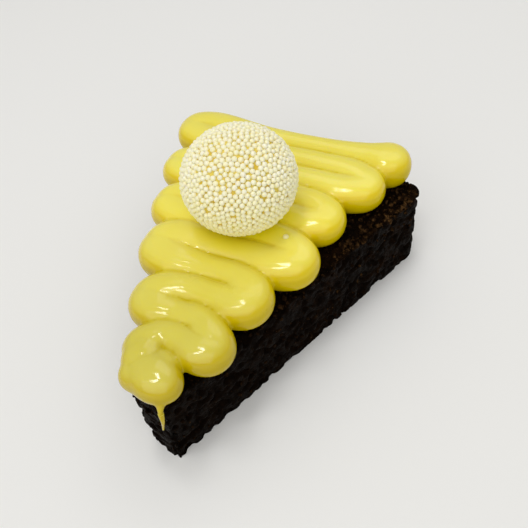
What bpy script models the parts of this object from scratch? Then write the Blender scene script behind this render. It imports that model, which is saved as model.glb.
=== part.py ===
# A slice of a round fudge brownie with one zigzag bead of soft cream piped over
# it and a truffle rolled in sugar pearls set in the cream.
# Metres, +Z up. The slice points along -Y, and its flat underside is at Z = 0.

import math
import random

import bmesh
import bpy
from mathutils import Matrix, Vector, noise

MM = 0.001
GAP = 0.3 * MM  # left between pieces that rest on each other

# The slice: a sector of a round cake, its point cut blunt.
CAKE_RADIUS = 117 * MM
CAKE_CENTRE = Vector((-2.9 * MM, -64.3 * MM))
RIGHT_ANGLE = math.radians(23.8)  # each cut side, from the +Y axis
LEFT_ANGLE = math.radians(19.2)
TIP_DISTANCE = 14.6 * MM  # from the cake's centre to the blunt tip's face
TIP_SLANT = math.radians(10.8)  # how far that face is turned to the left
TIP_LEAN = 2.2 * MM  # the tip's face runs out this much towards its foot
BROWNIE_HEIGHT = 28.4 * MM
CORNER_ROUNDING = 5 * MM  # the back corners, where the crust crumbled
CRAG_DEPTH = 1.6 * MM  # how deep the crumb breaks in from the faces
CRAG_SIZE = 8 * MM
PORE_SIZE = 2.6 * MM
CRAG_SHARES = (0.5, 1.6)  # of the depth: what coarse crags take, and what pores do
TOP_CRAG = 0.45  # the baked top breaks up less than the cut sides do
SLICE_CELLS = (16, 33, 9)  # across, along and up
SIDE_CROWDING = 0.5  # draws the lattice's columns towards the cut sides

# The cream: one bead, laid in rows from the back to the tip.
BEAD_HEIGHT = 4.2 * MM  # of the bead's middle above the brownie
BEAD_CEILING = 7.0 * MM  # the fatter the bead, the flatter it has settled
BEAD_LIFT = 1.12  # its height before it settled, as a share of its width
BACK_ROW = 45.1 * MM  # Y of the first row
ROW_STEPS = [step * MM for step in (7.4, 8.2, 8.1, 8.0, 8.2, 8.6, 8.1, 7.7, 8.1, 6.7, 8.0, 3.8)]
ROW_RADIUS = 0.66  # of the mean step to the next rows
LEAST_ROW = 4.4 * MM  # the thinnest that a row gets
ROW_KNOTS = (0.38, 0.62)  # shares of its width where a row is held straight
# Each turn: reach past the cut side, slip towards the tip, radius of the lobe.
RIGHT_LOBES = (
    (-7.5 * MM, 0.0 * MM, 7.5 * MM),
    (-6.4 * MM, -1.0 * MM, 8.4 * MM),
    (-6.1 * MM, -1.0 * MM, 8.6 * MM),
    (-0.4 * MM, -1.4 * MM, 8.8 * MM),
    (-0.3 * MM, -0.9 * MM, 8.9 * MM),
    (3.1 * MM, -1.7 * MM, 7.9 * MM),
    (-0.9 * MM, -1.3 * MM, 5.2 * MM),
)
LEFT_LOBES = (
    (2.2 * MM, 1.45 * MM, 8.6 * MM),
    (4.3 * MM, -0.5 * MM, 8.1 * MM),
    (4.6 * MM, -0.7 * MM, 8.7 * MM),
    (4.6 * MM, 0.15 * MM, 9.8 * MM),
    (3.3 * MM, -1.2 * MM, 8.7 * MM),
    (1.6 * MM, -0.2 * MM, 7.4 * MM),
    (0.9 * MM, 0.3 * MM, 4.4 * MM),
)
TURN_BENDS = [math.radians(bend) for bend in (80, 0, -80)]
FREE_END = (0.9, 0.8)  # where its fat start thins and to what, as shares of its radius
TURN_BEAD = 0.72  # bead radius in a turn, as a share of the lobe's radius
LOBE_DROOP = 0.35  # how far a lobe sinks for each millimetre past the side
# Where the last rows have run into one: middle in plan, half sizes, turn.
TIP_POOLS = (
    ((-1.2 * MM, -44.6 * MM), (8.0 * MM, 6.2 * MM, 5.8 * MM), math.radians(-14)),
    ((-6.3 * MM, -40.8 * MM), (5.5 * MM, 6.6 * MM, 5.6 * MM), 0.0),
)
CREAM_VOXEL = 0.9 * MM
CREAM_TRIANGLES = 5200
SOFTENING = 4  # rounds of smoothing
SOFTENING_STEP = 0.5
# A thin drip down the tip's face: how far below the brownie's top, the share of
# the face's width, how far out of the face, and its radius.
DRIP = (
    (-3.0 * MM, 1.0, -1.2 * MM, 1.2 * MM),
    (-0.5 * MM, 1.0, 0.1 * MM, 0.75 * MM),
    (2.4 * MM, 1.0, 0.35 * MM, 0.52 * MM),
    (5.4 * MM, 0.95, 0.35 * MM, 0.38 * MM),
    (8.4 * MM, 0.89, 0.35 * MM, 0.26 * MM),
)

# The truffle and its pearls.
TRUFFLE_RADIUS = 16.2 * MM  # over the pearls, across
TRUFFLE_SQUASH = 0.905  # its height, as a share of its width
TRUFFLE_CENTRE = Vector((-0.97 * MM, 8.7 * MM, BROWNIE_HEIGHT + 21.9 * MM))
PEARL_RADIUS = 0.72 * MM
PEARL_RISE = (0.55, 1.0)  # how far the pearls stand out, as shares of their radius
PEARL_SEED = 4
LOOSE_PEARL = Vector((13.9 * MM, 3.4 * MM, BROWNIE_HEIGHT + 9.2 * MM))
LOOSE_PEARL_RADIUS = 0.85 * MM


def clear_scene():
    for obj in list(bpy.data.objects):
        bpy.data.objects.remove(obj, do_unlink=True)


def make_collection(name):
    collection = bpy.data.collections.new(name)
    bpy.context.scene.collection.children.link(collection)
    return collection


def make_material(name, colour, roughness, subsurface=0.0):
    material = bpy.data.materials.new(name)
    material.use_nodes = True
    shader = material.node_tree.nodes["Principled BSDF"]
    shader.inputs["Base Color"].default_value = (*colour, 1)
    shader.inputs["Roughness"].default_value = roughness
    shader.inputs["Metallic"].default_value = 0
    shader.inputs["Subsurface Weight"].default_value = subsurface
    material.diffuse_color = (*colour, 1)
    return material


def make_object(name, bm, collection, material=None):
    mesh = bpy.data.meshes.new(name)
    bm.to_mesh(mesh)
    bm.free()
    obj = bpy.data.objects.new(name, mesh)
    collection.objects.link(obj)
    if material:
        mesh.materials.append(material)
    return obj


def apply_modifiers(obj):
    graph = bpy.context.evaluated_depsgraph_get()
    mesh = bpy.data.meshes.new_from_object(obj.evaluated_get(graph))
    obj.modifiers.clear()
    obj.data = mesh


def side_x(y, angle, sign):
    """X of a cut side at this Y."""
    return CAKE_CENTRE.x + sign * math.tan(angle) * (y - CAKE_CENTRE.y)


def slice_point(across, along, height, offset=0.0):
    """The point of the slice's plan at these shares of its width and length,
    on an outline moved outwards by offset."""
    angle = -LEFT_ANGLE + across * (LEFT_ANGLE + RIGHT_ANGLE)
    foot = TIP_DISTANCE - TIP_LEAN * (1 - height / BROWNIE_HEIGHT)
    tip = foot / math.cos(angle - TIP_SLANT) - offset
    corner = min(across, 1 - across) * (LEFT_ANGLE + RIGHT_ANGLE) * CAKE_RADIUS
    short = max(0.0, CORNER_ROUNDING - corner)
    rim = CAKE_RADIUS + offset - CORNER_ROUNDING
    rim += math.sqrt(CORNER_ROUNDING**2 - short**2)
    distance = tip + along * (rim - tip)
    aside = offset * (2 * across - 1)
    direction = Vector((math.sin(angle), math.cos(angle)))
    return CAKE_CENTRE + distance * direction + aside * Vector((direction.y, -direction.x))


def slice_lattice(cells, bottom, top, offset=0.0):
    """A closed lattice of the slice's shape, made from a subdivided cube."""
    bm = bmesh.new()
    bmesh.ops.create_cube(bm, size=1, matrix=Matrix.Translation((0.5, 0.5, 0.5)))
    for axis, count in enumerate(cells):
        along_axis = [e for e in bm.edges if abs((e.verts[0].co - e.verts[1].co)[axis]) > 0.9]
        bmesh.ops.subdivide_edges(bm, edges=along_axis, cuts=count - 1, use_grid_fill=True)
    for vert in bm.verts:
        column, along, up = vert.co
        eased = 0.5 - 0.5 * math.cos(math.pi * column)
        across = column + SIDE_CROWDING * (eased - column)
        height = bottom + up * (top - bottom)
        plan = slice_point(across, along, height, offset)
        vert.co = (plan.x, plan.y, height)
    bmesh.ops.recalc_face_normals(bm, faces=bm.faces)
    return bm


def crag(point):
    """Depth of the broken crumb at this point, from 0 to CRAG_DEPTH."""
    coarse = 0.5 + 0.5 * noise.noise(point / CRAG_SIZE)
    pores = max(0.0, noise.noise(point / PORE_SIZE + Vector((7, 3, 5))))
    coarse_share, pore_share = CRAG_SHARES
    return CRAG_DEPTH * min(1.0, coarse_share * coarse + pore_share * pores)


def build_brownie(collection):
    bm = slice_lattice(SLICE_CELLS, 0, BROWNIE_HEIGHT)
    bm.normal_update()
    moves = {}
    for vert in bm.verts:
        on_side = any(abs(face.normal.z) < 0.5 for face in vert.link_faces)
        depth = crag(vert.co) * (1 if on_side else TOP_CRAG)
        normal = vert.normal.copy()
        if vert.co.z < GAP:
            # The underside stays flat.
            normal.z = 0
        moves[vert] = -depth * normal
    for vert, move in moves.items():
        vert.co += move
    underside = {face for face in bm.faces if face.normal.z < -0.99}
    inner = [edge for edge in bm.edges if underside.issuperset(edge.link_faces)]
    bmesh.ops.dissolve_edges(bm, edges=inner, use_verts=True)
    bmesh.ops.triangulate(bm, faces=bm.faces)
    fudge = make_material("dark_fudge", (0.022, 0.012, 0.008), 0.6)
    return make_object("brownie", bm, collection, fudge)


def row_y(row):
    return BACK_ROW - sum(ROW_STEPS[:row])


def row_radius(row):
    steps = ROW_STEPS[max(0, row - 1) : row + 1]
    return max(LEAST_ROW, ROW_RADIUS * sum(steps) / len(steps))


def bead_points():
    """(point, radius) along the bead: rows joined by a turn at each side."""
    top = BROWNIE_HEIGHT + BEAD_HEIGHT
    points = []
    row_count = len(ROW_STEPS) + 1
    for row in range(row_count):
        # Rows run by turns from the right lobe to the left one, and back.
        leftwards = row % 2 == 0
        if leftwards:
            reach, slip, radius = RIGHT_LOBES[(row + 1) // 2]
            sign, angle = 1, RIGHT_ANGLE
        else:
            reach, slip, radius = LEFT_LOBES[row // 2]
            sign, angle = -1, LEFT_ANGLE
        y = (row_y(max(0, row - 1)) + row_y(row)) / 2 + slip
        x = side_x(y, angle, sign) + sign * (reach - radius)
        if row == 0:
            inwards, thinned = FREE_END
            points.append((Vector((x, y, top)), radius))
            start = Vector((x - inwards * radius, (y + row_y(0)) / 2, top))
            points.append((start, thinned * radius))
        else:
            bead = radius * TURN_BEAD
            turn = radius - bead
            sunk = LOBE_DROOP * max(0.0, reach)
            for bend in TURN_BENDS:
                out = math.cos(bend)
                shift = Vector((sign * turn * out, turn * math.sin(bend), -sunk * out))
                points.append((Vector((x, y, top)) + shift, bead))
        left_x = side_x(row_y(row), LEFT_ANGLE, -1)
        right_x = side_x(row_y(row), RIGHT_ANGLE, 1)
        for knot in ROW_KNOTS:
            along = 1 - knot if leftwards else knot
            x = left_x + along * (right_x - left_x)
            points.append((Vector((x, row_y(row), top)), row_radius(row)))
    reach, slip, radius = LEFT_LOBES[-1]
    y = row_y(row_count - 1) + slip
    x = side_x(y, LEFT_ANGLE, -1) - reach + radius
    points.append((Vector((x, y, top - LOBE_DROOP * reach)), radius))
    return points


def add_bead(collection):
    points = bead_points()
    curve = bpy.data.curves.new("bead", "CURVE")
    curve.dimensions = "3D"
    curve.bevel_depth = MM
    curve.bevel_resolution = 4
    curve.resolution_u = 8
    curve.use_fill_caps = True
    spline = curve.splines.new("BEZIER")
    spline.radius_interpolation = "CARDINAL"
    spline.bezier_points.add(len(points) - 1)
    for bezier, (place, radius) in zip(spline.bezier_points, points):
        bezier.co = place
        bezier.radius = radius / MM
        bezier.handle_left_type = "AUTO"
        bezier.handle_right_type = "AUTO"
    guide = bpy.data.objects.new("bead", curve)
    collection.objects.link(guide)
    bpy.context.view_layer.update()
    graph = bpy.context.evaluated_depsgraph_get()
    mesh = bpy.data.meshes.new_from_object(guide.evaluated_get(graph))
    bm = bmesh.new()
    bm.from_mesh(mesh)
    bmesh.ops.remove_doubles(bm, verts=bm.verts, dist=0.001 * MM)
    for place, radius in (points[0], points[-1]):
        spot = Matrix.Translation(place)
        bmesh.ops.create_icosphere(bm, subdivisions=4, radius=radius, matrix=spot)
    middle = BROWNIE_HEIGHT + BEAD_HEIGHT
    for centre, size, turn in TIP_POOLS:
        pool = Matrix.Translation((*centre, middle)) @ Matrix.Rotation(turn, 4, "Z")
        pool @= Matrix.Diagonal((*size, 1))
        bmesh.ops.create_icosphere(bm, subdivisions=4, radius=1, matrix=pool)
    for vert in bm.verts:
        height = vert.co.z - middle
        vert.co.z = middle + BEAD_LIFT * height / math.hypot(1, height / BEAD_CEILING)
    bpy.data.objects.remove(guide)
    return make_object("cream", bm, collection)


def add_drip(collection):
    bm = bmesh.new()
    rings = []
    for below, across, out, radius in DRIP:
        place = slice_point(across, 0, BROWNIE_HEIGHT - below, GAP + out)
        spot = Matrix.Translation((place.x, place.y, BROWNIE_HEIGHT - below))
        ring = bmesh.ops.create_circle(bm, segments=8, radius=radius, matrix=spot)["verts"]
        rings.append(list({edge for vert in ring for edge in vert.link_edges}))
    for upper, lower in zip(rings, rings[1:]):
        bmesh.ops.bridge_loops(bm, edges=upper + lower)
    bmesh.ops.holes_fill(bm, edges=rings[0] + rings[-1])
    bmesh.ops.recalc_face_normals(bm, faces=bm.faces)
    bmesh.ops.triangulate(bm, faces=bm.faces)
    make_object("drip", bm, collection)


def add_pearl(collection):
    bm = bmesh.new()
    spot = Matrix.Translation(LOOSE_PEARL)
    bmesh.ops.create_icosphere(bm, subdivisions=2, radius=LOOSE_PEARL_RADIUS, matrix=spot)
    make_object("loose_pearl", bm, collection)


def build_cream(collection, cutters):
    cream = add_bead(collection)
    remesh = cream.modifiers.new("fuse the rows", "REMESH")
    remesh.mode = "VOXEL"
    remesh.voxel_size = CREAM_VOXEL
    smooth = cream.modifiers.new("soften", "SMOOTH")
    smooth.factor = SOFTENING_STEP
    smooth.iterations = SOFTENING
    apply_modifiers(cream)
    decimate = cream.modifiers.new("lighten", "DECIMATE")
    decimate.ratio = CREAM_TRIANGLES / (2 * len(cream.data.polygons))
    decimate.use_collapse_triangulate = True
    apply_modifiers(cream)

    fused = make_collection("fused_with_cream")
    add_drip(fused)
    add_pearl(fused)
    union = cream.modifiers.new("fuse the drip and the pearl", "BOOLEAN")
    union.operation = "UNION"
    union.operand_type = "COLLECTION"
    union.collection = fused
    apply_modifiers(cream)
    for helper in list(fused.objects):
        bpy.data.objects.remove(helper)
    bpy.data.collections.remove(fused)

    bed_shape = slice_lattice((SLICE_CELLS[0], 2, 1), 0, BROWNIE_HEIGHT + GAP, GAP)
    bed = make_object("brownie_bed", bed_shape, cutters)
    hollow = bmesh.new()
    spot = Matrix.Translation(TRUFFLE_CENTRE) @ Matrix.Diagonal((1, 1, TRUFFLE_SQUASH, 1))
    bmesh.ops.create_icosphere(hollow, subdivisions=4, radius=TRUFFLE_RADIUS + GAP, matrix=spot)
    seat = make_object("truffle_seat", hollow, cutters)
    for cutter in (bed, seat):
        cutter.hide_render = True
        cutter.display_type = "WIRE"
        cut = cream.modifiers.new(cutter.name, "BOOLEAN")
        cut.operation = "DIFFERENCE"
        cut.object = cutter
    apply_modifiers(cream)
    custard = make_material("yellow_cream", (0.83, 0.73, 0.16), 0.28, 0.3)
    cream.data.materials.clear()
    cream.data.materials.append(custard)
    cream.data.shade_smooth()
    return cream


def build_truffle(collection):
    """A ball whose every face is poked up into a pearl-sized bump."""
    rng = random.Random(PEARL_SEED)
    bm = bmesh.new()
    core = TRUFFLE_RADIUS - PEARL_RADIUS
    bmesh.ops.create_icosphere(bm, subdivisions=4, radius=core)
    poked = bmesh.ops.poke(bm, faces=bm.faces)
    for vert in poked["verts"]:
        rise = PEARL_RADIUS * rng.uniform(*PEARL_RISE)
        vert.co = vert.co.normalized() * (core + rise)
    bmesh.ops.scale(bm, verts=bm.verts, vec=(1, 1, TRUFFLE_SQUASH))
    bmesh.ops.translate(bm, verts=bm.verts, vec=TRUFFLE_CENTRE)
    pearls = make_material("sugar_pearls", (0.83, 0.78, 0.55), 0.4, 0.1)
    return make_object("truffle_ball", bm, collection, pearls)


def main():
    clear_scene()
    parts = make_collection("slice_of_brownie")
    cutters = make_collection("cutters")
    build_brownie(parts)
    build_cream(parts, cutters)
    build_truffle(parts)


main()
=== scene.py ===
import math
import random

import bmesh
import bpy
import numpy as np
from mathutils import Matrix, Quaternion, Vector, noise
from mathutils.bvhtree import BVHTree


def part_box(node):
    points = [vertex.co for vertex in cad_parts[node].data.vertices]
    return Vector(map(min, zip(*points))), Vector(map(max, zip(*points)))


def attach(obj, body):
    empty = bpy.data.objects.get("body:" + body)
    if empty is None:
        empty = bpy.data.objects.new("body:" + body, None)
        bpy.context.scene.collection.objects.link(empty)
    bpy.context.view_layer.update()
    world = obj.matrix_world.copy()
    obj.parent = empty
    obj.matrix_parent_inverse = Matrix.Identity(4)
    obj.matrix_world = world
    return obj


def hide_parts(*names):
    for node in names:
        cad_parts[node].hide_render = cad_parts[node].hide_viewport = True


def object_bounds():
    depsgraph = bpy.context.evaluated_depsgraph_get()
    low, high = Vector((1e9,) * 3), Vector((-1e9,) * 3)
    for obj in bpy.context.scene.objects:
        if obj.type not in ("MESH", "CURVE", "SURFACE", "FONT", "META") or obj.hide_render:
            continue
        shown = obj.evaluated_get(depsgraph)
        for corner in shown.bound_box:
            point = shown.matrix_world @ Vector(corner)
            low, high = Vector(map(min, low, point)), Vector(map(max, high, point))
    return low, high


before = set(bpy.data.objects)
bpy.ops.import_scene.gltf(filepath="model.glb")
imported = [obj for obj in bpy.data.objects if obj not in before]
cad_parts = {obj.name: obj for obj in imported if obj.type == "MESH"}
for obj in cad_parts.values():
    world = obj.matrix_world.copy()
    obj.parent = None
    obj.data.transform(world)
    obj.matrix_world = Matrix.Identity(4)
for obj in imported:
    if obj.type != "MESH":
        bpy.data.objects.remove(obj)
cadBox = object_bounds()
mm = 0.001
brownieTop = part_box("brownie")[1].z / mm
print("frame loaded, the brownie is", round(brownieTop, 1), "mm high")


def shiftTo(point):
    # point in millimetres
    return Matrix.Translation(Vector(point) * mm)


def newMesh(name, bm):
    mesh = bpy.data.meshes.new(name)
    bm.to_mesh(mesh)
    bm.free()
    return mesh


def newObject(name, data):
    made = bpy.data.objects.new(name, data)
    bpy.context.scene.collection.objects.link(made)
    return made


def newPiece(name, bm, finish, stoodFor=None):
    piece = newObject(name, newMesh(name, bm))
    piece.data.shade_smooth()
    piece.data.materials.append(finish)
    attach(piece, "root")
    if stoodFor:
        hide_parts(stoodFor)
    return piece


def settledMesh(piece):
    # the mesh with its modifiers worked in
    bpy.context.view_layer.update()
    graph = bpy.context.evaluated_depsgraph_get()
    return bpy.data.meshes.new_from_object(piece.evaluated_get(graph))


class Wire:
    # a shader value that takes part in sums

    def __init__(self, finish, socket):
        self.finish = finish
        self.socket = socket

    def sum(self, operation, first, second):
        return self.finish.add("ShaderNodeMath", {"operation": operation}, {0: first, 1: second})

    def __add__(self, other):
        return self.sum("ADD", self, other)

    def __sub__(self, other):
        return self.sum("SUBTRACT", self, other)

    def __rsub__(self, other):
        return self.sum("SUBTRACT", other, self)

    def __mul__(self, other):
        return self.sum("MULTIPLY", self, other)

    __radd__ = __add__
    __rmul__ = __mul__


class Finish:
    # one material and the nodes it is mixed from

    def __init__(self, name):
        self.material = bpy.data.materials.new(name)
        self.material.use_nodes = True
        self.tree = self.material.node_tree
        self.tree.nodes.clear()
        self.place = self.add("ShaderNodeTexCoord", output="Object")

    def add(self, kind, settings=None, values=None, output=0):
        made = self.tree.nodes.new(kind)
        for name, value in (settings or {}).items():
            if name == "stops":
                stops = made.color_ramp.elements
                while len(stops) < len(value):
                    stops.new(1)
                for stop, (spot, shade) in zip(stops, value):
                    stop.position = spot
                    stop.color = (*shade, 1) if isinstance(shade, tuple) else (shade, shade, shade, 1)
            else:
                setattr(made, name, value)
        for name, value in (values or {}).items():
            # a Mix node has a socket of each name for each kind of value
            named = [s for s in made.inputs if s.name == name and s.enabled]
            socket = named[0] if named else made.inputs[name]
            if isinstance(value, Wire):
                self.tree.links.new(value.socket, socket)
            elif socket.type == "RGBA":
                socket.default_value = (*value, 1)
            else:
                socket.default_value = value
        shown = [s for s in made.outputs if s.enabled]
        if not shown:
            return None
        return Wire(self, made.outputs[output] if isinstance(output, str) else shown[output])

    def noise(self, size, detail, roughness):
        # size in millimetres
        values = {"Vector": self.place, "Scale": 1 / (size * mm), "Detail": detail, "Roughness": roughness}
        return self.add("ShaderNodeTexNoise", values=values)

    def cells(self, size):
        # distance from the middles of cells of that size in millimetres
        values = {"Vector": self.place, "Scale": 1 / (size * mm)}
        return self.add("ShaderNodeTexVoronoi", values=values, output="Distance")

    def along(self):
        # 0 at y = -50 mm, 1 at y = 50 mm
        return self.add("ShaderNodeSeparateXYZ", values={"Vector": self.place}, output="Y") * 10 + 0.5

    def distance(self, point, unit):
        # from a point, in units of that many millimetres
        values = {0: self.place, 1: Vector(point) * mm}
        apart = self.add("ShaderNodeVectorMath", {"operation": "DISTANCE"}, values, "Value")
        return apart * (1 / (unit * mm))

    def ramp(self, value, *stops):
        return self.add("ShaderNodeValToRGB", {"stops": stops}, {"Fac": value})

    def blend(self, share, first, second, way="MIX"):
        settings = {"data_type": "RGBA", "blend_type": way}
        return self.add("ShaderNodeMix", settings, {"Factor": share, "A": first, "B": second})

    def shape(self, output):
        return self.add("ShaderNodeNewGeometry", output=output)

    def relief(self, height, depth, under=None):
        # depth in millimetres where the height is 1
        values = {"Height": height, "Distance": depth * mm, "Strength": 1.0}
        if under:
            values["Normal"] = under
        return self.add("ShaderNodeBump", values=values)

    def surface(self, values):
        shader = self.add("ShaderNodeBsdfPrincipled", values=values)
        self.add("ShaderNodeOutputMaterial", values={"Surface": shader})
        return self.material


# The wedge of the cake. Sizes here and below are in millimetres.
wedge = {
    "cakeRadius": 117,
    "centre": (-2.9, -64.3),
    "rightAngle": 23.8,
    "leftAngle": 19.2,
    "tipDistance": 14.6,
    "tipSlant": 10.8,
    "tipLean": 2.2,
    "cornerRounding": 5,
    "crowding": 0.5,
    "height": 28.4,
}


def sideAt(y, right):
    # x of a cut side
    angle = wedge["rightAngle"] if right else -wedge["leftAngle"]
    return wedge["centre"][0] + math.tan(math.radians(angle)) * (y - wedge["centre"][1])


def slicePoint(across, along, height, offset=0.0):
    left, right = math.radians(wedge["leftAngle"]), math.radians(wedge["rightAngle"])
    angle = -left + across * (left + right)
    foot = wedge["tipDistance"] - wedge["tipLean"] * (1 - height / wedge["height"])
    tip = foot / math.cos(angle - math.radians(wedge["tipSlant"])) - offset
    rounding = wedge["cornerRounding"]
    corner = min(across, 1 - across) * (left + right) * wedge["cakeRadius"]
    short = max(0.0, rounding - corner)
    rim = wedge["cakeRadius"] + offset - rounding + math.sqrt(rounding**2 - short**2)
    distance = tip + along * (rim - tip)
    aside = offset * (2 * across - 1)
    x = wedge["centre"][0] + distance * math.sin(angle) + aside * math.cos(angle)
    y = wedge["centre"][1] + distance * math.cos(angle) - aside * math.sin(angle)
    return Vector((x, y, height))


def sliceBlock(cells, bottom, top, offset=0.0):
    bm = bmesh.new()
    bmesh.ops.create_cube(bm, size=1, matrix=Matrix.Translation((0.5, 0.5, 0.5)))
    for axis, count in enumerate(cells):
        run = [e for e in bm.edges if abs((e.verts[0].co - e.verts[1].co)[axis]) > 0.9]
        bmesh.ops.subdivide_edges(bm, edges=run, cuts=count - 1, use_grid_fill=True)
    for vert in bm.verts:
        column, along, up = vert.co
        eased = 0.5 - 0.5 * math.cos(math.pi * column)
        across = column + wedge["crowding"] * (eased - column)
        vert.co = slicePoint(across, along, bottom + up * (top - bottom), offset) * mm
    bmesh.ops.recalc_face_normals(bm, faces=bm.faces)
    return bm


crumb = {
    "cells": (90, 240, 66),
    "inset": 0.35,
    "topInset": 0.1,
    "cragDepth": 1.6,
    "cragSize": 8,
    "poreSize": 2.6,
    # what coarse crags and pores take of that depth
    "cragShare": 0.5,
    "poreShare": 1.6,
    "pitSize": 1.9,
    "pitDepth": 0.55,
    "pitReach": 0.55,
    # airy patches, where the pits are, and how much of the cake they take
    "airySize": 5,
    "airyShare": 0.25,
    "grainSize": 0.9,
    "grainDepth": 0.22,
    # finer grains, as shares of that size and depth
    "finerSize": 0.45,
    "finerDepth": 0.6,
    # shares of the crags and of the fine crumb on the baked top
    "topCrags": 0.45,
    "topFine": 0.7,
    # wear of the top edge, the size of its patches and the least of it
    "edgeWear": 1.1,
    "wearSize": 3.1,
    "leastWear": 0.4,
}


def crag(point):
    # broken crumb, from 0 to cragDepth; point in millimetres
    coarse = 0.5 + 0.5 * noise.noise(point / crumb["cragSize"])
    pores = max(0.0, noise.noise(point / crumb["poreSize"] + Vector((7, 3, 5))))
    return crumb["cragDepth"] * min(1.0, crumb["cragShare"] * coarse + crumb["poreShare"] * pores)


def fineCrumb(point):
    # pits and grains that the coarse crags are covered with
    spot = point / crumb["pitSize"] + Vector((3, 9, 1))
    near = noise.voronoi(spot)[0][0]
    airy = max(0.0, noise.noise(point / crumb["airySize"] + Vector((1, 8, 4))) + crumb["airyShare"])
    pit = airy * max(0.0, 1 - near / crumb["pitReach"]) ** 0.5
    grain = noise.noise(point / crumb["grainSize"])
    finer = crumb["finerSize"] * crumb["grainSize"]
    grain += crumb["finerDepth"] * noise.noise(point / finer)
    return crumb["pitDepth"] * pit + crumb["grainDepth"] * grain


fudge = {
    # darkest and palest, on the cuts and of the loose crumbs
    "cut": ((0.0013, 0.0007, 0.0004), (0.0044, 0.0022, 0.0011)),
    "crumbs": ((0.003, 0.0015, 0.0009), (0.013, 0.006, 0.0024)),
    # the same where it has broken open
    "open": ((0.008, 0.0034, 0.0013), (0.038, 0.016, 0.005)),
    "paleCrumbs": ((0.055, 0.024, 0.008), (0.21, 0.11, 0.036)),
    "specks": (0.12, 0.06, 0.025),
    # share of open crumb along the slice, from 0 at y = -50 mm to 1 at y = 50 mm
    "opening": ((0.3, 0.35), (0.8, 1)),
    # roughness where it is moist and where it is dry
    "moist": 0.38,
    "dry": 0.8,
    # size, detail, roughness and depth of each bump
    "bumps": ((0.55, 4, 0.7, 0.3), (1.6, 3, 0.6, 0.35)),
    "sheen": 0.018,
    "sheenTint": (1.0, 0.78, 0.6),
}


def fudgeFinish(name, dark, warm, warmShare, patch):
    # dark fudge with warmer crumb where it has broken open, in patches of that size
    finish = Finish(name)
    grains = finish.noise(1.3, 4, 0.7)
    deep = finish.ramp(grains, (0.35, dark[0]), (0.62, dark[1]))
    broken = finish.ramp(grains, (0.4, warm[0]), (0.7, warm[1]))
    warmth = finish.ramp(finish.noise(patch, 3, 0.6), (0.48, 0), (0.7, 1))
    warmth = warmth * finish.ramp(finish.along(), *fudge["opening"])
    colour = finish.blend(warmth * warmShare, deep, broken)
    speck = finish.ramp(finish.cells(1.1), (0.05, 0.5), (0.16, 0))
    colour = finish.blend(speck * warmShare, colour, fudge["specks"])
    wet = finish.ramp(finish.noise(2.2, 3, 0.6), (0.4, fudge["moist"]), (0.65, fudge["dry"]))
    bump = None
    for size, detail, roughness, depth in fudge["bumps"]:
        bump = finish.relief(finish.noise(size, detail, roughness), depth, bump)
    return finish.surface({
        "Base Color": colour, "Roughness": wet, "Normal": bump,
        "Specular IOR Level": fudge["sheen"], "Specular Tint": fudge["sheenTint"],
    })


def makeBrownie(finish):
    bm = sliceBlock(crumb["cells"], 0, wedge["height"] - crumb["topInset"], -crumb["inset"])
    bm.normal_update()
    moves = {}
    for vert in bm.verts:
        point = vert.co / mm
        flat = [abs(face.normal.z) > 0.5 for face in vert.link_faces]
        onSide = not all(flat)
        depth = crag(point) * (1 if onSide else crumb["topCrags"])
        depth += max(0.0, fineCrumb(point)) * (1 if onSide else crumb["topFine"])
        if onSide and any(flat) and point.z > 1:
            # the top edge is worn round
            worn = crumb["leastWear"] + abs(noise.noise(point / crumb["wearSize"]))
            depth += crumb["edgeWear"] * worn
        normal = vert.normal.copy()
        if point.z < 0.3:
            # the underside stays flat
            normal.z = 0
        moves[vert] = -depth * mm * normal
    for vert, move in moves.items():
        vert.co += move
    underside = {face for face in bm.faces if face.normal.z < -0.99}
    inner = [edge for edge in bm.edges if underside.issuperset(edge.link_faces)]
    bmesh.ops.dissolve_edges(bm, edges=inner, use_verts=True)
    bmesh.ops.triangulate(bm, faces=bm.faces)
    return newPiece("fudge_crumb", bm, finish, "brownie")


brownie = makeBrownie(fudgeFinish("dark_fudge", fudge["cut"], fudge["open"], 0.5, 7))
print("brownie made,", len(brownie.data.polygons), "faces")

# Crumbs that have broken off the cuts and lie along the top edges or cling to the sides.
scatter = {
    "seed": 11,
    # top, rubble on the right of the back, sides, broken left corner of the tip
    "counts": (680, 110, 360, 45),
    "rightShare": 0.7,
    # how far in from the cuts they lie on the top, and the rubble
    "topBand": 11,
    "rubbleBand": 5,
    # rubble along the slice
    "rubbleRun": (10, 47),
    # the broken corner: share of the tip's width, depth from the top
    "cornerShare": 0.3,
    "cornerDepth": 6,
    "kinds": 8,
    "smallest": 0.2,
    "largest": 0.75,
    "rubble": (0.4, 0.85),
    # how far a crumb's middle stands out, as a share of its size
    "rise": 0.25,
    "roughness": 0.75,
    "lumps": 1.3,
    # length, width and height, as shares of its size
    "squash": ((0.9, 1.3), (0.7, 1.1), (0.6, 0.9)),
    # the farthest that a crumb reaches, as a share of its size
    "reach": 2.1,
    # how strongly they gather: small ones, at the back, by the cuts, near the top
    "gather": {"small": 2.2, "back": 1.9, "edge": 1.4, "top": 1.5},
}


def crumbSize(rng):
    smallest, largest = scatter["smallest"], scatter["largest"]
    return smallest + rng.random() ** scatter["gather"]["small"] * (largest - smallest)


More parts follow.
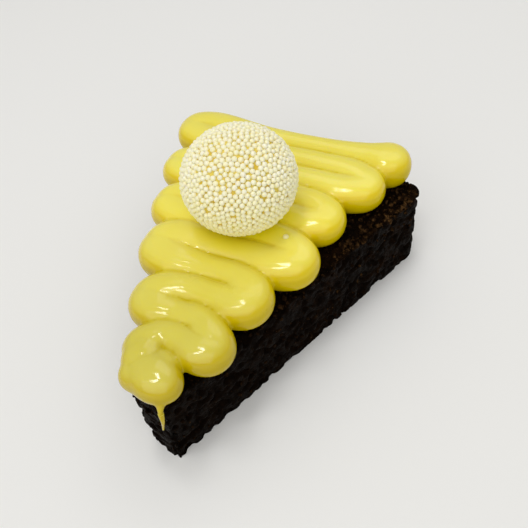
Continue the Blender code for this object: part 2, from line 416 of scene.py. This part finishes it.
def crumbSpots(rng, tree):
    # point and outward direction in metres, size in millimetres
    spots = []
    gather = scatter["gather"]
    onTop, rubble, onSides, atTip = scatter["counts"]
    while len(spots) < onTop + rubble:
        if len(spots) < onTop:
            size = crumbSize(rng)
            right = rng.random() < scatter["rightShare"]
            y = 50 - 100 * rng.random() ** gather["back"]
            inwards = rng.random() ** gather["edge"] * scatter["topBand"]
            x = sideAt(y, right) - (1 if right else -1) * inwards
        else:
            # lumps along the edge near the corner
            size = rng.uniform(*scatter["rubble"])
            y = rng.uniform(*scatter["rubbleRun"])
            x = sideAt(y, True) - rng.random() ** 2 * scatter["rubbleBand"]
        start = Vector((x, y, wedge["height"] + 5)) * mm
        place, normal, *rest = tree.ray_cast(start, Vector((0, 0, -1)))
        if place and place.z > (wedge["height"] - 3) * mm:
            spots.append((place, normal, size))
    while len(spots) < onTop + rubble + onSides + atTip:
        if len(spots) < onTop + rubble + onSides:
            size = crumbSize(rng)
            across, along = rng.choice((0, 1)), rng.random()
            height = wedge["height"] * (1 - rng.random() ** gather["top"])
            inside = slicePoint(0.5, along, height) * mm
        else:
            size = rng.uniform(*scatter["rubble"])
            across, along = scatter["cornerShare"] * rng.random() ** gather["top"], 0
            height = wedge["height"] - 0.3 - scatter["cornerDepth"] * rng.random() ** 2
            inside = slicePoint(0.5, 0.4, height) * mm
        start = slicePoint(across, along, height, 6) * mm
        place, normal, *rest = tree.ray_cast(start, (inside - start).normalized())
        if place and place.z > 1.6 * size * mm:
            spots.append((place, normal, size))
    return spots


def crumbKinds(rng):
    kinds = []
    for kind in range(scatter["kinds"]):
        bm = bmesh.new()
        bmesh.ops.create_icosphere(bm, subdivisions=2, radius=1)
        start = Vector((rng.uniform(0, 50), 0, 0))
        for vert in bm.verts:
            vert.co *= 1 + scatter["roughness"] * noise.noise(scatter["lumps"] * vert.co + start)
        kinds.append(newMesh("crumb", bm))
    return kinds


def makeCrumbs(finish, tree):
    rng = random.Random(scatter["seed"])
    kinds = crumbKinds(rng)
    bm = bmesh.new()
    low, high = cadBox
    for place, normal, size in crumbSpots(rng, tree):
        # no crumb reaches out of the part's box
        edge = scatter["reach"] * size * mm
        place.x = min(high.x - edge, max(low.x + edge, place.x))
        place.y = min(high.y - edge, max(low.y + edge, place.y))
        turn = Quaternion([rng.gauss(0, 1) for axis in range(4)]).normalized()
        squash = Matrix.Diagonal([rng.uniform(*span) for span in scatter["squash"]] + [1])
        rest = Matrix.Translation(place + normal * size * scatter["rise"] * mm)
        pose = rest @ turn.to_matrix().to_4x4() @ squash @ Matrix.Scale(size * mm, 4)
        kind = rng.choice(kinds)
        kind.transform(pose)
        bm.from_mesh(kind)
        kind.transform(pose.inverted())
    return newPiece("loose_crumbs", bm, finish)


fudgeTree = BVHTree.FromObject(brownie, bpy.context.evaluated_depsgraph_get())
crumbFinish = fudgeFinish("fudge_crumbs", fudge["crumbs"], fudge["paleCrumbs"], 0.8, 1.6)
crumbs = makeCrumbs(crumbFinish, fudgeTree)
print("crumbs scattered,", len(crumbs.data.polygons), "faces")


# One bead of cream in rows from the back to the tip.
bead = {
    "height": 4.2,
    "ceiling": 7.0,
    "lift": 1.12,
    "backRow": 45.04,
    "rowSteps": (7.4, 8.2, 8.1, 8.0, 8.2, 8.6, 8.1, 7.7, 8.1, 6.7, 8.0, 3.8),
    "rowRadius": 0.66,
    "leastRow": 4.4,
    "rowKnots": (0.38, 0.62),
    "turnBends": (80, 0, -80),
    "freeEnd": (0.9, 0.8),
    # each turn: reach past the cut side, slip towards the tip, radius
    "rightLobes": (
        (-7.5, 0.0, 7.5), (-6.4, -1.0, 8.4), (-6.1, -1.0, 8.6), (-0.4, -1.4, 8.8),
        (-0.3, -0.9, 8.9), (3.1, -1.7, 7.9), (-0.9, -1.3, 5.2),
    ),
    "leftLobes": (
        (2.0, 1.45, 8.6), (4.3, -0.5, 8.1), (4.6, -0.7, 8.7), (4.6, 0.15, 9.8),
        (3.3, -1.2, 8.7), (1.6, -0.2, 7.4), (0.9, 0.3, 4.4),
    ),
    "rightShare": 0.72,
    "leftShare": 0.72,
    "droop": 0.35,
    # the last rows have run into one: centre, half sizes, turn in degrees
    "tipPools": (((-1.2, -44.6), (8.0, 6.2, 5.8), -14), ((-6.3, -40.8), (5.5, 6.6, 5.6), 0)),
    # curve steps round the bead and round the drip
    "segments": 8,
    "dripSegments": 5,
    "voxel": 0.42,
    "softening": 10,
    "softeningStep": 0.5,
    # edges sharper than this, in degrees, stay crisp
    "sharpFrom": 82,
    # how far it has sunk into the crumb
    "sunk": 0.5,
    "bedCells": (110, 2, 1),
    # the drip: below the top, share of the tip's width, out of its face, radius
    "drip": (
        (-3.0, 1.0, -1.2, 1.2), (-0.5, 1.0, 0.1, 0.75), (2.4, 1.0, 0.35, 0.52),
        (5.4, 0.95, 0.35, 0.38), (8.4, 0.89, 0.35, 0.26),
    ),
    "dripClearance": 0.3,
}


def rowAt(row):
    return bead["backRow"] - sum(bead["rowSteps"][:row])


def beadKnots():
    # (point, radius) along the bead
    top = wedge["height"] + bead["height"]
    knots = []
    rowCount = len(bead["rowSteps"]) + 1
    for row in range(rowCount):
        leftwards = row % 2 == 0
        lobes = bead["rightLobes"] if leftwards else bead["leftLobes"]
        reach, slip, radius = lobes[(row + 1) // 2 if leftwards else row // 2]
        share = bead["rightShare"] if leftwards else bead["leftShare"]
        sign = 1 if leftwards else -1
        y = (rowAt(max(0, row - 1)) + rowAt(row)) / 2 + slip
        x = sideAt(y, leftwards) + sign * (reach - radius)
        if row == 0:
            inwards, thinned = bead["freeEnd"]
            knots.append((Vector((x, y, top)), radius))
            knots.append((Vector((x - inwards * radius, (y + rowAt(0)) / 2, top)), thinned * radius))
        else:
            turn = radius * (1 - share)
            sunk = bead["droop"] * max(0.0, reach)
            for degrees in bead["turnBends"]:
                out, back = math.cos(math.radians(degrees)), math.sin(math.radians(degrees))
                shift = Vector((sign * turn * out, turn * back, -sunk * out))
                knots.append((Vector((x, y, top)) + shift, radius * share))
        steps = bead["rowSteps"][max(0, row - 1):row + 1]
        rowRadius = max(bead["leastRow"], bead["rowRadius"] * sum(steps) / len(steps))
        leftX, rightX = sideAt(rowAt(row), False), sideAt(rowAt(row), True)
        for knot in bead["rowKnots"]:
            along = 1 - knot if leftwards else knot
            knots.append((Vector((leftX + along * (rightX - leftX), rowAt(row), top)), rowRadius))
    reach, slip, radius = bead["leftLobes"][-1]
    y = rowAt(rowCount - 1) + slip
    x = sideAt(y, False) - reach + radius
    knots.append((Vector((x, y, top - bead["droop"] * reach)), radius))
    return knots


def dripKnots():
    knots = []
    for below, across, out, radius in bead["drip"]:
        height = wedge["height"] - below
        knots.append((slicePoint(across, 0, height, bead["dripClearance"] + out), radius))
    return knots


def tube(knots, fine, roundEnds=True):
    # a closed round tube through the knots
    curve = bpy.data.curves.new("tube", "CURVE")
    curve.dimensions = "3D"
    curve.bevel_depth = mm
    curve.bevel_resolution = fine
    curve.resolution_u = 2 * fine
    curve.use_fill_caps = True
    spline = curve.splines.new("BEZIER")
    spline.radius_interpolation = "CARDINAL"
    spline.bezier_points.add(len(knots) - 1)
    for knot, (place, radius) in zip(spline.bezier_points, knots):
        knot.co = place * mm
        knot.radius = radius
        knot.handle_left_type = "AUTO"
        knot.handle_right_type = "AUTO"
    guide = newObject("tube", curve)
    bm = bmesh.new()
    bm.from_mesh(settledMesh(guide))
    bpy.data.objects.remove(guide)
    bmesh.ops.remove_doubles(bm, verts=bm.verts, dist=0.001 * mm)
    for place, radius in (knots[0], knots[-1]) if roundEnds else ():
        bmesh.ops.create_icosphere(bm, subdivisions=4, radius=radius * mm, matrix=shiftTo(place))
    return bm


def makeCream(finish):
    bm = tube(beadKnots(), bead["segments"])
    middle = (wedge["height"] + bead["height"]) * mm
    for place, size, degrees in bead["tipPools"]:
        pool = shiftTo((*place, middle / mm)) @ Matrix.Rotation(math.radians(degrees), 4, "Z")
        pool @= Matrix.Diagonal((*size, 1))
        bmesh.ops.create_icosphere(bm, subdivisions=5, radius=mm, matrix=pool)
    for vert in bm.verts:
        # the fatter the bead, the flatter it has settled
        height = vert.co.z - middle
        vert.co.z = middle + bead["lift"] * height / math.hypot(1, height / (bead["ceiling"] * mm))
    bm.from_mesh(newMesh("soft drip", tube(dripKnots(), bead["dripSegments"])))
    cream = newPiece("piped_cream", bm, finish, "cream")
    fuse = cream.modifiers.new("fuse the rows", "REMESH")
    fuse.mode = "VOXEL"
    fuse.voxel_size = bead["voxel"] * mm
    soften = cream.modifiers.new("soften", "SMOOTH")
    soften.factor = bead["softeningStep"]
    soften.iterations = bead["softening"]
    thread = newObject("thread", newMesh("thread", tube(dripKnots()[1:], bead["dripSegments"], False)))
    bedBlock = sliceBlock(bead["bedCells"], 0, wedge["height"] - bead["sunk"])
    bed = newObject("bed", newMesh("bed", bedBlock))
    hollow = bmesh.new()
    seatRadius = (truffle["radius"] - truffle["pressed"]) * mm
    seatSpot = shiftTo(truffle["centre"]) @ Matrix.Diagonal((1, 1, truffle["squash"], 1))
    bmesh.ops.create_icosphere(hollow, subdivisions=5, radius=seatRadius, matrix=seatSpot)
    seat = newObject("seat", newMesh("seat", hollow))
    for helper, operation in ((thread, "UNION"), (bed, "DIFFERENCE"), (seat, "DIFFERENCE")):
        work = cream.modifiers.new(helper.name, "BOOLEAN")
        work.operation = operation
        work.object = helper
    mesh = settledMesh(cream)
    cream.modifiers.clear()
    cream.data = mesh
    for helper in (thread, bed, seat):
        bpy.data.objects.remove(helper)
    mesh.shade_smooth()
    mesh.set_sharp_from_angle(angle=math.radians(bead["sharpFrom"]))
    return cream


custard = {
    # painted light: paler on top for a painted sheen, deeper on the flanks, underneath and in the creases
    # for painted shade
    "top": ((0.92, 0.80, 0.095), (0.94, 0.83, 0.13)),
    "shadedFlank": ((0.79, 0.61, 0.003), (0.83, 0.64, 0.008)),
    "under": (0.69, 0.525, 0.0),
    "creaseShade": (0.73, 0.565, 0.0),
    # painted shadow of the truffle: the deep golden colour of the cream beneath it
    "truffleShadow": (1.0, 0.86, 0.01),
    "creaseWidth": (0.471, 0.4985),
    # painted shadow of the truffle: deeper again close to the truffle, in truffle widths from its centre
    "truffleShadowReach": ((0.5, 1.0), (0.64, 0.0)),
    # brightness along the slice, from 0 at y = -50 mm to 1 at y = 50 mm: painted light falloff, darker
    # towards the tip and a little at the back
    "depth": ((0.1, 0.75), (0.55, 1.0), (0.75, 1.0), (0.95, 0.95)),
    # wet at the tip, dulled by fine drops on the fifth lobe, along the slice
    "dulled": ((0.09, 0.35), (0.16, 1.0), (0.26, 1.0), (0.33, 1.7), (0.38, 1.0), (1.0, 1.0)),
    # roughness in wet and dry patches, and what a crease adds
    "gloss": (0.14, 0.22),
    "creaseGloss": 0.15,
    # size and depth of the waves in it, and of the fine drops
    "waves": (11, 0.2),
    "drops": (0.6, 0.016),
    "glow": (1.0, 0.85, 0.1),
    "glowShare": 0.4,
    "coatRoughness": 0.09,
}


def creamFinish():
    finish = Finish("yellow_cream")
    cloud = finish.noise(14, 2, 0.5)
    # painted sheen: a paler colour for the tops that face up
    top = finish.ramp(cloud, (0.3, custard["top"][0]), (0.7, custard["top"][1]))
    # painted shade: a deeper colour for the flanks
    shadedFlank = finish.ramp(cloud, (0.3, custard["shadedFlank"][0]), (0.7, custard["shadedFlank"][1]))
    upwards = finish.add("ShaderNodeSeparateXYZ", values={"Vector": finish.shape("Normal")}, output="Z")
    # painted shade: a deeper colour where the surface faces down, under the overhangs
    overhung = finish.ramp(upwards, (0.1, 1), (0.55, 0))
    colour = finish.blend(overhung, shadedFlank, custard["under"])
    # painted sheen: the up-facing tops turn to the paler colour
    colour = finish.blend(finish.ramp(upwards, (0.6, 0), (0.985, 1)), colour, top)
    near, far = custard["creaseWidth"]
    # painted shade in the creases: a deeper colour where the pointiness is low
    creaseShade = finish.ramp(finish.shape("Pointiness"), (near, 1), (far, 0))
    colour = finish.blend(creaseShade, colour, custard["creaseShade"])
    # painted shadow under the truffle: the cream near it turns deep golden
    fromTruffle = finish.distance(truffle["centre"], 2 * truffle["radius"])
    colour = finish.blend(finish.ramp(fromTruffle, *custard["truffleShadowReach"]), colour, custard["truffleShadow"])
    along = finish.along()
    # painted light falloff: the colour darkens towards the tip
    colour = finish.blend(1.0, colour, finish.ramp(along, *custard["depth"]), "MULTIPLY")
    dulled = finish.ramp(along, *custard["dulled"])
    wet, dry = custard["gloss"]
    gloss = finish.ramp(finish.noise(7, 3, 0.6), (0.3, wet), (0.7, dry)) * dulled
    gloss = gloss + custard["creaseGloss"] * creaseShade
    waveSize, waveDepth = custard["waves"]
    dropSize, dropDepth = custard["drops"]
    bump = finish.relief(finish.noise(waveSize, 2, 0.5), waveDepth)
    bump = finish.relief(finish.noise(dropSize, 2, 0.5) * dulled * dulled, dropDepth, bump)
    return finish.surface({
        "Base Color": colour, "Roughness": gloss, "Normal": bump,
        "Subsurface Weight": custard["glowShare"], "Subsurface Radius": custard["glow"],
        "Subsurface Scale": 1.0 * mm, "IOR": 1.45, "Specular IOR Level": 0.2,
        "Coat Weight": (1.0 - 0.2 * dulled) * (1 - creaseShade) * (1 - overhung),
        "Coat Roughness": custard["coatRoughness"],
    })


truffle = {
    "radius": 16.2,
    "squash": 0.905,
    "centre": (-0.97, 8.7, wedge["height"] + 21.75),
    "pearlRadius": 0.74,
    "pearlCount": 1450,
    "pearlSpread": 0.07,
    "pearlSway": 0.055,
    # how deep a pearl may be pressed in
    "pearlSink": 0.25,
    "rolls": 40,
    "rollStep": 0.45,
    "coreInset": 0.95,
    # size and depth
    "coreLumps": (2.5, 0.12),
    # how far the cream comes in between the pearls
    "pressed": 0.25,
    # place and radius
    "loosePearl": ((13.9, 3.4, wedge["height"] + 9.2), 0.85),
    "seed": 4,
    # deepest and palest sugar, and a painted tint of yellow light reflected from the cream, low on the
    # ball
    "sugar": ((0.98, 0.91, 0.58), (0.99, 0.95, 0.74)),
    "creamReflectedTint": (0.97, 0.87, 0.36),
    "core": ((0.74, 0.50, 0.03), (0.86, 0.68, 0.12)),
}


def pearlSpots():
    # an even spiral that is shaken, then rolled a set number of times, pushing apart pearls that lie in
    # one another
    rng = np.random.default_rng(truffle["seed"])
    count = truffle["pearlCount"]
    index = np.arange(count) + 0.5
    height = 1 - 2 * index / count
    turn = math.pi * (1 + math.sqrt(5)) * index
    girth = np.sqrt(1 - height**2)
    spots = np.stack((girth * np.cos(turn), girth * np.sin(turn), height), axis=1)
    spots += rng.normal(size=spots.shape) * truffle["pearlSway"]
    reach = 2 * truffle["pearlRadius"] / (truffle["radius"] - truffle["pearlRadius"])
    for roll in range(truffle["rolls"]):
        spots /= np.linalg.norm(spots, axis=1)[:, None]
        near = np.argwhere(np.triu(spots @ spots.T > math.cos(reach), 1))
        apart = spots[near[:, 0]] - spots[near[:, 1]]
        gap = np.linalg.norm(apart, axis=1)[:, None] + 1e-6
        push = truffle["rollStep"] * apart * np.maximum(0, reach - gap) / gap
        np.add.at(spots, near[:, 0], push)
        np.add.at(spots, near[:, 1], -push)
    return spots / np.linalg.norm(spots, axis=1)[:, None]


def makePearls(finish):
    rng = random.Random(truffle["seed"])
    ball = bmesh.new()
    bmesh.ops.create_icosphere(ball, subdivisions=2, radius=1)
    pearl = newMesh("pearl", ball)
    bm = bmesh.new()
    centre = Vector(truffle["centre"])
    for spot in pearlSpots():
        radius = truffle["pearlRadius"] * (1 + rng.uniform(-1, 1) * truffle["pearlSpread"])
        depth = truffle["radius"] - radius - rng.random() ** 2 * truffle["pearlSink"]
        out = depth * Vector(spot)
        out.z *= truffle["squash"]
        place = shiftTo(centre + out) @ Matrix.Scale(radius * mm, 4)
        pearl.transform(place)
        bm.from_mesh(pearl)
        pearl.transform(place.inverted())
    return newPiece("sugar_pearls", bm, finish)


def makeCore(finish):
    bm = bmesh.new()
    core = truffle["radius"] - truffle["coreInset"]
    lumpSize, lumpDepth = truffle["coreLumps"]
    bmesh.ops.create_icosphere(bm, subdivisions=6, radius=core * mm)
    for vert in bm.verts:
        lump = noise.noise(vert.co / (lumpSize * mm)) * lumpDepth * mm
        vert.co += vert.co.normalized() * lump
        vert.co.z *= truffle["squash"]
    bmesh.ops.translate(bm, verts=bm.verts, vec=Vector(truffle["centre"]) * mm)
    return newPiece("truffle_core", bm, finish, "truffle_ball")


def makeLoosePearl(finish):
    bm = bmesh.new()
    place, radius = truffle["loosePearl"]
    bmesh.ops.create_icosphere(bm, subdivisions=3, radius=radius * mm, matrix=shiftTo(place))
    return newPiece("loose_pearl", bm, finish)


def pearlFinish():
    finish = Finish("sugar_pearls")
    deep, pale = truffle["sugar"]
    colour = finish.ramp(finish.noise(1.4, 1, 0.5), (0.35, deep), (0.65, pale))
    # painted reflected light: yellower towards the cream, low on the ball
    height = finish.add("ShaderNodeSeparateXYZ", values={"Vector": finish.place}, output="Z")
    low = finish.ramp(height * 20 - 0.7, (0.0, 0.9), (0.45, 0.0))
    colour = finish.blend(low, colour, truffle["creamReflectedTint"])
    bump = finish.relief(finish.noise(0.3, 2, 0.5), 0.02)
    return finish.surface({
        "Base Color": colour, "Roughness": 0.4, "Normal": bump, "Specular IOR Level": 0.35,
        "Subsurface Weight": 0.3, "Subsurface Radius": (1.0, 0.9, 0.45), "Subsurface Scale": 0.6 * mm,
    })


def coreFinish():
    finish = Finish("truffle_core")
    deep, pale = truffle["core"]
    colour = finish.ramp(finish.noise(4, 3, 0.6), (0.35, deep), (0.65, pale))
    bump = finish.relief(finish.noise(0.8, 3, 0.5), 0.08)
    return finish.surface({
        "Base Color": colour, "Roughness": 0.5, "Normal": bump,
        "Subsurface Weight": 0.3, "Subsurface Radius": (1.0, 0.6, 0.15), "Subsurface Scale": 1.5 * mm,
    })


cream = makeCream(creamFinish())
print("cream piped,", len(cream.data.polygons), "faces")
makeCore(coreFinish())
pearls = pearlFinish()
makePearls(pearls)
makeLoosePearl(pearls)
print("truffle rolled")


stage = {
    "camera": (60.64, -88.76, 152.43),
    "lookAt": (6.77, 1.61, 25.25),
    "roll": 9.2,
    "field": 50,
    "floor": (0.875, 0.87, 0.85),
    "floorSize": 1500,
    "sky": (1.0, 0.992, 0.97),
    "skyStrength": 0.42,
    # place, width, height, power
    "front": ((300, -1050, 1150), 2600, 2200, 14.0),
    "back": ((0, 700, 1000), 900, 600, 1.5),
    # a window of panes: centre, pane width, pane height, gap, power of each
    "window": ((-120, -20, 990), 60, 250, 16, 0.54),
    "panes": (2, 2),
}


def makeCamera():
    camera = newObject("camera", bpy.data.cameras.new("camera"))
    camera.data.sensor_width = 36
    camera.data.angle = math.radians(stage["field"])
    camera.data.clip_start = 0.005
    place, aim = Vector(stage["camera"]), Vector(stage["lookAt"])
    turn = (aim - place).to_track_quat("-Z", "Y")
    roll = Quaternion((0, 0, 1), -math.radians(stage["roll"]))
    camera.rotation_mode = "QUATERNION"
    camera.rotation_quaternion = turn @ roll
    camera.location = place * mm
    bpy.context.scene.camera = camera


def makeLamp(name, place, width, height, power):
    light = bpy.data.lights.new(name, "AREA")
    light.shape = "RECTANGLE"
    light.size = width * mm
    light.size_y = height * mm
    light.energy = power
    lamp = newObject(name, light)
    lamp.location = Vector(place) * mm
    lamp.rotation_mode = "QUATERNION"
    lamp.rotation_quaternion = (-Vector(place)).to_track_quat("-Z", "Y")


def makeStage():
    bm = bmesh.new()
    size = stage["floorSize"] * mm
    bmesh.ops.create_grid(bm, x_segments=1, y_segments=1, size=size)
    floor = newObject("floor", newMesh("floor", bm))
    finish = Finish("pale_floor")
    floor.data.materials.append(finish.surface({"Base Color": stage["floor"], "Roughness": 0.6}))
    world = bpy.data.worlds.new("soft light")
    world.use_nodes = True
    sky = world.node_tree.nodes["Background"]
    sky.inputs["Color"].default_value = (*stage["sky"], 1)
    sky.inputs["Strength"].default_value = stage["skyStrength"]
    bpy.context.scene.world = world
    bpy.context.scene.view_settings.view_transform = "Standard"
    makeLamp("front", *stage["front"])
    makeLamp("back", *stage["back"])
    centre, width, height, gap, power = stage["window"]
    columns, rows = stage["panes"]
    for column in range(columns):
        for row in range(rows):
            aside = (column - (columns - 1) / 2) * (width + gap)
            back = (row - (rows - 1) / 2) * (height + gap)
            makeLamp("pane", Vector(centre) + Vector((aside, back, 0)), width, height, power)


makeCamera()
makeStage()
print("stage set")
